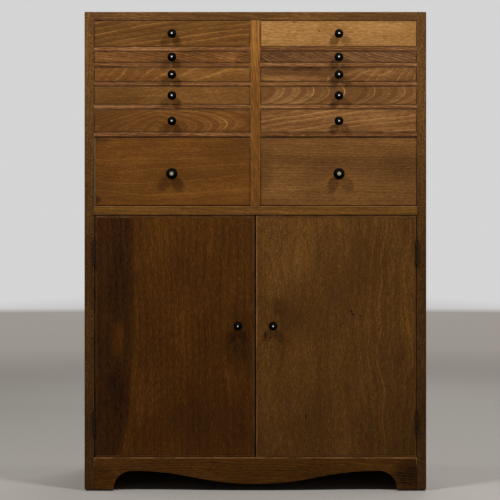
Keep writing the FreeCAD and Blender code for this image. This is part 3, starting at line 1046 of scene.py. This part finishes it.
FRONT_WOODS: dict[str, WoodFinish] = {wood.name: wood for wood in (
    front("left_1", tint(55, 29, 7), tint(92, 58, 22), tint(139, 95, 45),
          figure=Figure(0.011, rise=-0.13, bow=0.12, drift=0.01, waves=(3.0, 18.0)), line=0.3, shadow=0.1),
    front("left_2", tint(42, 21, 6), tint(112, 71, 33), tint(173, 121, 68),
          figure=Figure(0.006, rise=0.2, bow=0.3, drift=0.006, waves=(8.0, 30.0)), line=0.18, shadow=0.22,
          marks=(Mark(0.17, 0.0, 0.04, 0.05, -0.2),)),
    front("left_3", tint(63, 35, 11), tint(109, 69, 30), tint(158, 111, 56),
          figure=Figure(0.009, across=0.35, rise=-0.2, bow=0.6, drift=0.008, waves=(14.0, 30.0)), line=0.15,
          line_width=0.002, shadow=0.08),
    front("left_4", tint(54, 30, 8), tint(108, 70, 31), tint(170, 120, 64),
          figure=Figure(0.0042, rise=-0.04, drift=0.004), line=0.08, shadow=0.08, streak=0.08,
          fleck=0.36, fleck_size=(0.006, 0.0018)),
    front("left_5", tint(47, 24, 7), tint(104, 64, 26), tint(185, 130, 66),
          figure=Figure(0.036, across=0.0, rise=1.0, crown=60.0, centre=-0.018, lean=0.09, fold=-0.035,
                        drift=0.016, waves=(6.0, 16.0)), line=0.17, line_width=0.0026, shadow=0.12,
          streak=0.08, fleck=0.16, fibre=0.16,
          marks=(Mark(0.1, 0.0, 0.1, 0.05, 0.07), Mark(-0.1, 0.0, 0.09, 0.04, -0.04))),
    front("left_6", tint(47, 23, 6), tint(101, 61, 21), tint(156, 103, 44),
          figure=Figure(0.022, rise=-0.03, bow=-0.35, drift=0.03, waves=(3.0, 11.0)), line=0.09,
          shadow=0.05, streak=0.04, fleck=0.28, fleck_size=(0.005, 0.0018),
          marks=(Mark(-0.168, -0.064, 0.012, 0.011, -0.34), Mark(-0.16, 0.071, 0.03, 0.01, -0.2),
                 Mark(0.08, -0.05, 0.13, 0.035, 0.12))),
    front("right_1", tint(87, 51, 18), tint(142, 99, 51), tint(189, 144, 89),
          figure=Figure(0.006, rise=0.02, drift=0.006), line=0.06, shadow=0.05, streak=0.06, fleck=0.5,
          fleck_size=(0.008, 0.0018), fibre=0.4,
          marks=(Mark(-0.043, 0.006, 0.003, 0.002, -0.8, 0.4),
                 Mark(-0.099, 0.0255, 0.003, 0.002, -0.7, 0.4))),
    front("right_2", tint(32, 16, 6), tint(89, 57, 30), tint(145, 103, 63),
          figure=Figure(0.006, rise=0.36, bow=-0.4, drift=0.009, waves=(12.0, 34.0)), line=0.22,
          shadow=0.24),
    front("right_3", tint(49, 28, 10), tint(105, 68, 35), tint(163, 116, 66),
          figure=Figure(0.009, across=0.35, rise=-0.2, bow=-0.6, drift=0.012, waves=(16.0, 26.0)),
          line=0.24, line_width=0.0009, shadow=0.08,
          marks=(Mark(-0.1, -0.009, 0.1, 0.008, 0.25), Mark(-0.05, 0.013, 0.17, 0.006, -0.2))),
    front("right_4", tint(51, 29, 11), tint(111, 73, 37), tint(183, 136, 83),
          figure=Figure(0.034, across=0.1, rise=1.0, crown=52.0, centre=0.011, drift=0.014,
                        waves=(7.0, 24.0)), line=0.33, shadow=0.14, streak=0.1, fleck=0.2, fibre=0.16,
          cloud=0.45),
    front("right_5", tint(58, 31, 12), tint(112, 73, 37), tint(170, 123, 72),
          figure=Figure(0.011, rise=-0.15, bow=0.12, drift=0.009), line=0.22, shadow=0.1,
          marks=(Mark(0.12, 0.0, 0.09, 0.04, 0.14),)),
    front("right_6", tint(53, 30, 12), tint(111, 73, 35), tint(172, 121, 66),
          figure=Figure(0.0065, rise=0.02, drift=0.006, waves=(2.5, 14.0)), line=0.09, line_width=0.001,
          shadow=0.06, streak=0.08, fleck=0.34, fleck_size=(0.008, 0.0018), cloud=0.4,
          marks=(Mark(0.16, 0.02, 0.08, 0.06, -0.12), Mark(0.02, 0.055, 0.26, 0.025, 0.12),
                 Mark(0.06, -0.055, 0.22, 0.03, -0.1), Mark(-0.17, 0.0, 0.03, 0.07, -0.12))),
)}

# The broad marks near the foot of each door make it darker towards the bottom; one high on the right door
# lightens it
DOOR_WOODS: dict[Side, WoodFinish] = {
    Side.LEFT: WoodFinish(
        "left_door_polish", deep=tint(25, 10, 2), body=tint(74, 41, 8), pale=tint(125, 79, 26),
        figure=Figure(0.016, rise=0.02, drift=0.03, waves=(3.0, 8.0)), line=0.07, shadow=0.07, streak=0.05,
        fleck=0.44, fleck_size=(0.0068, 0.0018), fibre=0.3, cloud=0.28, wear_and_highlight=0.2,
        marks=(Mark(0.06, -0.16, 0.42, 0.076, -0.26, 0.7), Mark(0.11, -0.128, 0.11, 0.03, -0.13),
               Mark(-0.11, -0.128, 0.08, 0.024, -0.11), Mark(-0.006, -0.125, 0.055, 0.02, 0.22),
               Mark(-0.03, 0.138, 0.06, 0.035, -0.16), Mark(-0.1, 0.132, 0.07, 0.026, 0.12),
               Mark(-0.2, 0.09, 0.12, 0.12, -0.08), Mark(-0.23, -0.06, 0.08, 0.05, -0.12))),
    Side.RIGHT: WoodFinish(
        "right_door_polish", deep=tint(35, 18, 6), body=tint(87, 55, 20), pale=tint(142, 97, 44),
        figure=Figure(0.021, drift=0.07, waves=(4.0, 5.0)), line=0.1, line_width=0.003, line_start=0.02,
        shadow=0.06, streak=0.03, fleck=0.46, fleck_size=(0.0052, 0.0015), fibre=0.3, cloud=0.28, wear_and_highlight=0.2,
        marks=(Mark(0.056, 0.034, 0.003, 0.003, -0.8, 0.3), Mark(0.049, 0.038, 0.0022, 0.004, -0.7, 0.3),
               Mark(0.045, 0.055, 0.002, 0.003, -0.6, 0.3), Mark(-0.178, -0.068, 0.006, 0.0016, -0.8, 0.3),
               Mark(0.004, -0.158, 0.009, 0.002, -0.6, 0.2), Mark(0.025, 0.01, 0.004, 0.0014, -0.5, 0.2),
               Mark(0.066, -0.128, 0.03, 0.025, -0.14), Mark(-0.2, 0.13, 0.18, 0.1, -0.16),
               Mark(-0.08, -0.08, 0.12, 0.045, 0.12), Mark(0.2, -0.08, 0.16, 0.14, 0.07))),
}


@dataclass
class Carcass(SubAssembly):
    """Sides, top, waist, base, divider, back, rails and what is fixed inside.

    Fields:
        panel_ease: how far the arrises of sides, top and waist are taken off.
        rail_ease: the same for the rails.
        joint_ease: the same for the back boards.
        catch_ease: the same for the catches.
    """

    panel_ease: float = 0.0015
    rail_ease: float = 0.0006
    joint_ease: float = 0.0012
    catch_ease: float = 0.0004

    def build(self) -> None:
        """Makes every fixed board."""
        for node in ("left_side_panel", "right_side_panel"):
            self.add(node, Slot.CARCASS, CARCASS_WOOD, ease=self.panel_ease, facing=SIDE_EDGE)
        for node, wood in (("top_board", CARCASS_WOOD), ("waist_board", WAIST_WOOD)):
            self.add(node, Slot.CARCASS, wood, ease=self.panel_ease)
        self.add("drawer_divider", Slot.CARCASS, DIVIDER_WOOD)
        self.add("drawer_rails", Slot.CARCASS, RAIL_WOOD, ease=self.rail_ease)
        self.add("back_boards", Slot.INNER, BACK_WOOD, ease=self.joint_ease)
        for node in ("base_board", "drawer_runners", "drawer_stops", "cupboard_shelf", "shelf_bearers"):
            self.add(node, Slot.INNER, INNER_WOOD)

    def fit(self) -> None:
        """Makes the fixed hinge leaves and the catches."""
        self.add("frame_hinges", Slot.HINGE, HINGE_METAL, arrises=Arrises.AS_CUT)
        self.add("catch_magnets", Slot.CATCH, CATCH_METAL, ease=self.catch_ease)


@dataclass
class Plinth(SubAssembly):
    """The shaped apron and the pads under the feet.

    Fields:
        curve_ease: how far the arrises around the apron's face are taken off.
        pad_ease: the same for the pads.
    """

    curve_ease: float = 0.0009
    pad_ease: float = 0.0005

    def build(self) -> None:
        """Makes the apron and the pads."""
        self.add("front_apron", Slot.CARCASS, APRON_WOOD, arrises=Arrises.FACE, ease=self.curve_ease)
        self.add("foot_pads", Slot.PAD, FELT, ease=self.pad_ease)


DRAWER_ROWS = 6


@dataclass
class Drawer(SubAssembly):
    """One drawer: its front, its box and its turned knob.

    Fields:
        side: which column.
        row: which row, counted from the top.
    """

    side: Side = Side.LEFT
    row: int = 1

    @property
    def body(self) -> str:
        """The body that the drawer moves with."""
        return f"{self.side.value}_drawer_{self.row}"

    def build(self) -> None:
        """Makes the front, the box and the knob."""
        name = f"{self.side.value}_{self.row}"
        wood = FRONT_WOODS[f"front_polish_{name}"]
        # The deep drawers of the last row have larger knobs with darker dots
        dot = BONE_DOT if self.row == DRAWER_ROWS else PEARL_DOT
        # The deep left front has a second solid, its edging strip
        self.add(f"drawer_front_{name}", Slot.DRAWER_FRONT, wood, STRIP_WOOD)
        self.add(f"drawer_box_{name}", Slot.LINING, LINING_WOOD)
        self.add(f"drawer_knob_{name}", Slot.EBONISED, EBONISED, dot, arrises=Arrises.AS_CUT)


@dataclass
class Door(SubAssembly):
    """One cupboard door with its knob, hinge leaves and catch plate.

    Fields:
        side: which half.
        plate_ease: how far the arrises of the catch plate are taken off.
    """

    side: Side = Side.LEFT
    ease: float = 0.0009
    plate_ease: float = 0.0003

    @property
    def body(self) -> str:
        """The body that the door swings with."""
        return f"{self.side.value}_door"

    def build(self) -> None:
        """Makes the panel with its lippings, and what is fixed to it."""
        core = DOOR_WOODS[self.side]
        lipping = DARK_LIPPING if self.side is Side.LEFT else PALE_LIPPING
        # The second finish falls on the lipping at the door's left
        self.add(f"{self.body}_panel", Slot.DOOR, core, lipping, core)
        self.add(f"{self.body}_knob", Slot.EBONISED, EBONISED, PEARL_DOT, arrises=Arrises.AS_CUT)
        self.add(f"{self.body}_hinges", Slot.HINGE, HINGE_METAL, arrises=Arrises.AS_CUT)
        self.add(f"{self.body}_catch_plate", Slot.CATCH, CATCH_METAL, ease=self.plate_ease)


@dataclass(frozen=True)
class SoftBox:
    """One lamp of the studio.

    Fields:
        name: the lamp's name.
        place: where it stands.
        aim: the point that it looks at.
        size: the side of its square face.
        power: its power in watts.
    """

    name: str
    place: tuple[float, float, float]
    aim: tuple[float, float, float]
    size: float
    power: float

    def build(self) -> None:
        """Hangs the lamp."""
        lamp = bpy.data.lights.new(self.name, "AREA")
        lamp.energy = self.power
        lamp.size = self.size
        hung = bpy.data.objects.new(self.name, lamp)
        hung.location = self.place
        hung.visible_camera = False
        hung.rotation_euler = (Vector(self.aim) - Vector(self.place)).to_track_quat("-Z", "Y").to_euler()
        bpy.context.scene.collection.objects.link(hung)


@dataclass
class Studio:
    """Floor, backdrop, lamps and camera.

    Fields:
        near, far: where the floor starts and where it meets the backdrop.
        width: half the floor's width.
        cove: radius of the bend between floor and backdrop.
        height: height of the backdrop.
        stand: the camera's place.
        front: the cabinet's front plane.
        span: width of the view at the front plane.
        sky: strength of the light from all round.
        wall: colour of what the camera sees behind.
        paint: colour of the floor.
        scuffed: its colour where it is scuffed.
        distance: the floor's colours as the camera sees them further out, by share of the way to far.
        skyline: the share of that way at which the wall's colour is reached.
        fade: how far out those colours set in, and from where on only they show.
        bends: faces in the bend.
        lamps: the soft lamps.
    """

    near: float = -11.5
    far: float = 11.5
    width: float = 11.5
    cove: float = 1.2
    height: float = 6.0
    stand: tuple[float, float, float] = (-0.012, -3.59, 0.537)
    front: float = -0.1905
    span: float = 1.1144
    sky: float = 0.05
    wall: float = 0.66
    paint: Colour = tint(172, 167, 160)
    scuffed: Colour = tint(162, 157, 150)
    distance: tuple[tuple[float, Colour], ...] = ((0.0, tint(150, 144, 136)), (0.84, tint(158, 152, 145)))
    skyline: float = 0.95
    fade: tuple[float, float] = (1.2, 5.0)
    bends: int = 24
    lamps: tuple[SoftBox, ...] = (
        SoftBox("lamp_left", (-0.8, -1.1, 1.9), (-0.05, -0.19, 0.75), 0.3, 20.5),
        SoftBox("lamp_right", (0.8, -1.1, 1.9), (0.05, -0.19, 0.75), 0.3, 20.5),
        SoftBox("lamp_side_left", (-2.4, 0.6, 1.6), (-0.38, 0.0, 0.55), 1.2, 14.0),
        SoftBox("lamp_side_right", (2.4, 0.6, 1.6), (0.38, 0.0, 0.55), 1.2, 14.0),
        SoftBox("lamp_behind", (0.6, 2.6, 2.6), (0.0, 0.2, 0.5), 1.6, 45.0),
    )

    def build(self) -> None:
        """Makes the floor, the light and the camera."""
        self._floor()
        self._sky()
        for lamp in self.lamps:
            lamp.build()
        self._camera()
        bpy.context.scene.view_settings.view_transform = "Standard"

    def _floor(self) -> None:
        """Lays the floor, which bends up into the backdrop."""
        profile = [(self.near, 0.0), (self.far - self.cove, 0.0)]
        for step in range(1, self.bends + 1):
            turn = math.pi / 2 * step / self.bends
            profile.append((self.far - self.cove * (1 - math.sin(turn)), self.cove * (1 - math.cos(turn))))
        profile.append((self.far, self.height))
        mesh = bpy.data.meshes.new("studio_floor")
        points = [(x, y, z) for y, z in profile for x in (-self.width, self.width)]
        faces = [(2 * i, 2 * i + 1, 2 * i + 3, 2 * i + 2) for i in range(len(profile) - 1)]
        mesh.from_pydata(points, [], faces)
        mesh.shade_smooth()
        mesh.materials.append(self._paint())
        floor = bpy.data.objects.new("studio_floor", mesh)
        bpy.context.scene.collection.objects.link(floor)

    def _paint(self) -> bpy.types.Material:
        """The floor's paint, which turns into a plain pale wall far out.

        Returns:
            The material.
        """
        sheet = FinishSheet("studio_floor")
        where = sheet.value("ShaderNodeNewGeometry", {}, {}, "Position")
        scuffs = sheet.noise(PAINT_CLOUDS, where) * 0.2
        colour = sheet.blend(scuffs, self.paint, self.scuffed)
        sheet.feed(Roughness=0.8, Specular_IOR_Level=0.2, Base_Color=colour)
        flat = sheet.stretched(where, (1.0, 1.0, 0.0))
        reach = sheet.value("ShaderNodeVectorMath", {"operation": "LENGTH"}, {0: flat}, "Value")
        stops = [*self.distance, (self.skyline, (self.wall, self.wall, self.wall))]
        tone = sheet.ramp(reach / self.far, stops)
        glow = sheet.value("ShaderNodeEmission", {}, {"Color": tone, "Strength": 1.0})
        away = reach.rise(*self.fade) * sheet.seen()
        mixed = sheet.value("ShaderNodeMixShader", {}, {0: away, 1: sheet.surface(), 2: glow})
        sheet.plug(sheet.output, {"Surface": mixed})
        return sheet.material

    def _sky(self) -> None:
        """Sets the even light, and the pale wall that the camera sees behind."""
        world = bpy.data.worlds.new("studio_light")
        world.use_nodes = True
        bpy.context.scene.world = world
        sheet = NodeSheet(world.node_tree)
        strength = sheet.seen() * (self.wall - self.sky) + self.sky
        sockets = {"Color": (1.0, 1.0, 1.0, 1.0), "Strength": strength}
        light = sheet.value("ShaderNodeBackground", {}, sockets)
        sheet.node("ShaderNodeOutputWorld", {}, {"Surface": light})

    def _camera(self) -> None:
        """Stands the camera level in front of the cabinet."""
        lens = bpy.data.cameras.new("camera")
        lens.sensor_width = 36.0
        lens.lens = lens.sensor_width * (self.front - self.stand[1]) / self.span
        camera = bpy.data.objects.new("camera", lens)
        camera.location = self.stand
        camera.rotation_euler = (math.pi / 2, 0.0, 0.0)
        bpy.context.scene.collection.objects.link(camera)
        bpy.context.scene.camera = camera


def main() -> None:
    """Builds the cabinet piece by piece, then the studio."""
    logging.basicConfig(level=logging.INFO, format="%(name)s: %(message)s")
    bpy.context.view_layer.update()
    carcass = Carcass()
    carcass.build()
    carcass.fit()
    Plinth().build()
    for side in Side:
        for row in range(1, DRAWER_ROWS + 1):
            Drawer(side=side, row=row).build()
        Door(side=side).build()
    Studio().build()


if __name__ == "__main__":
    main()
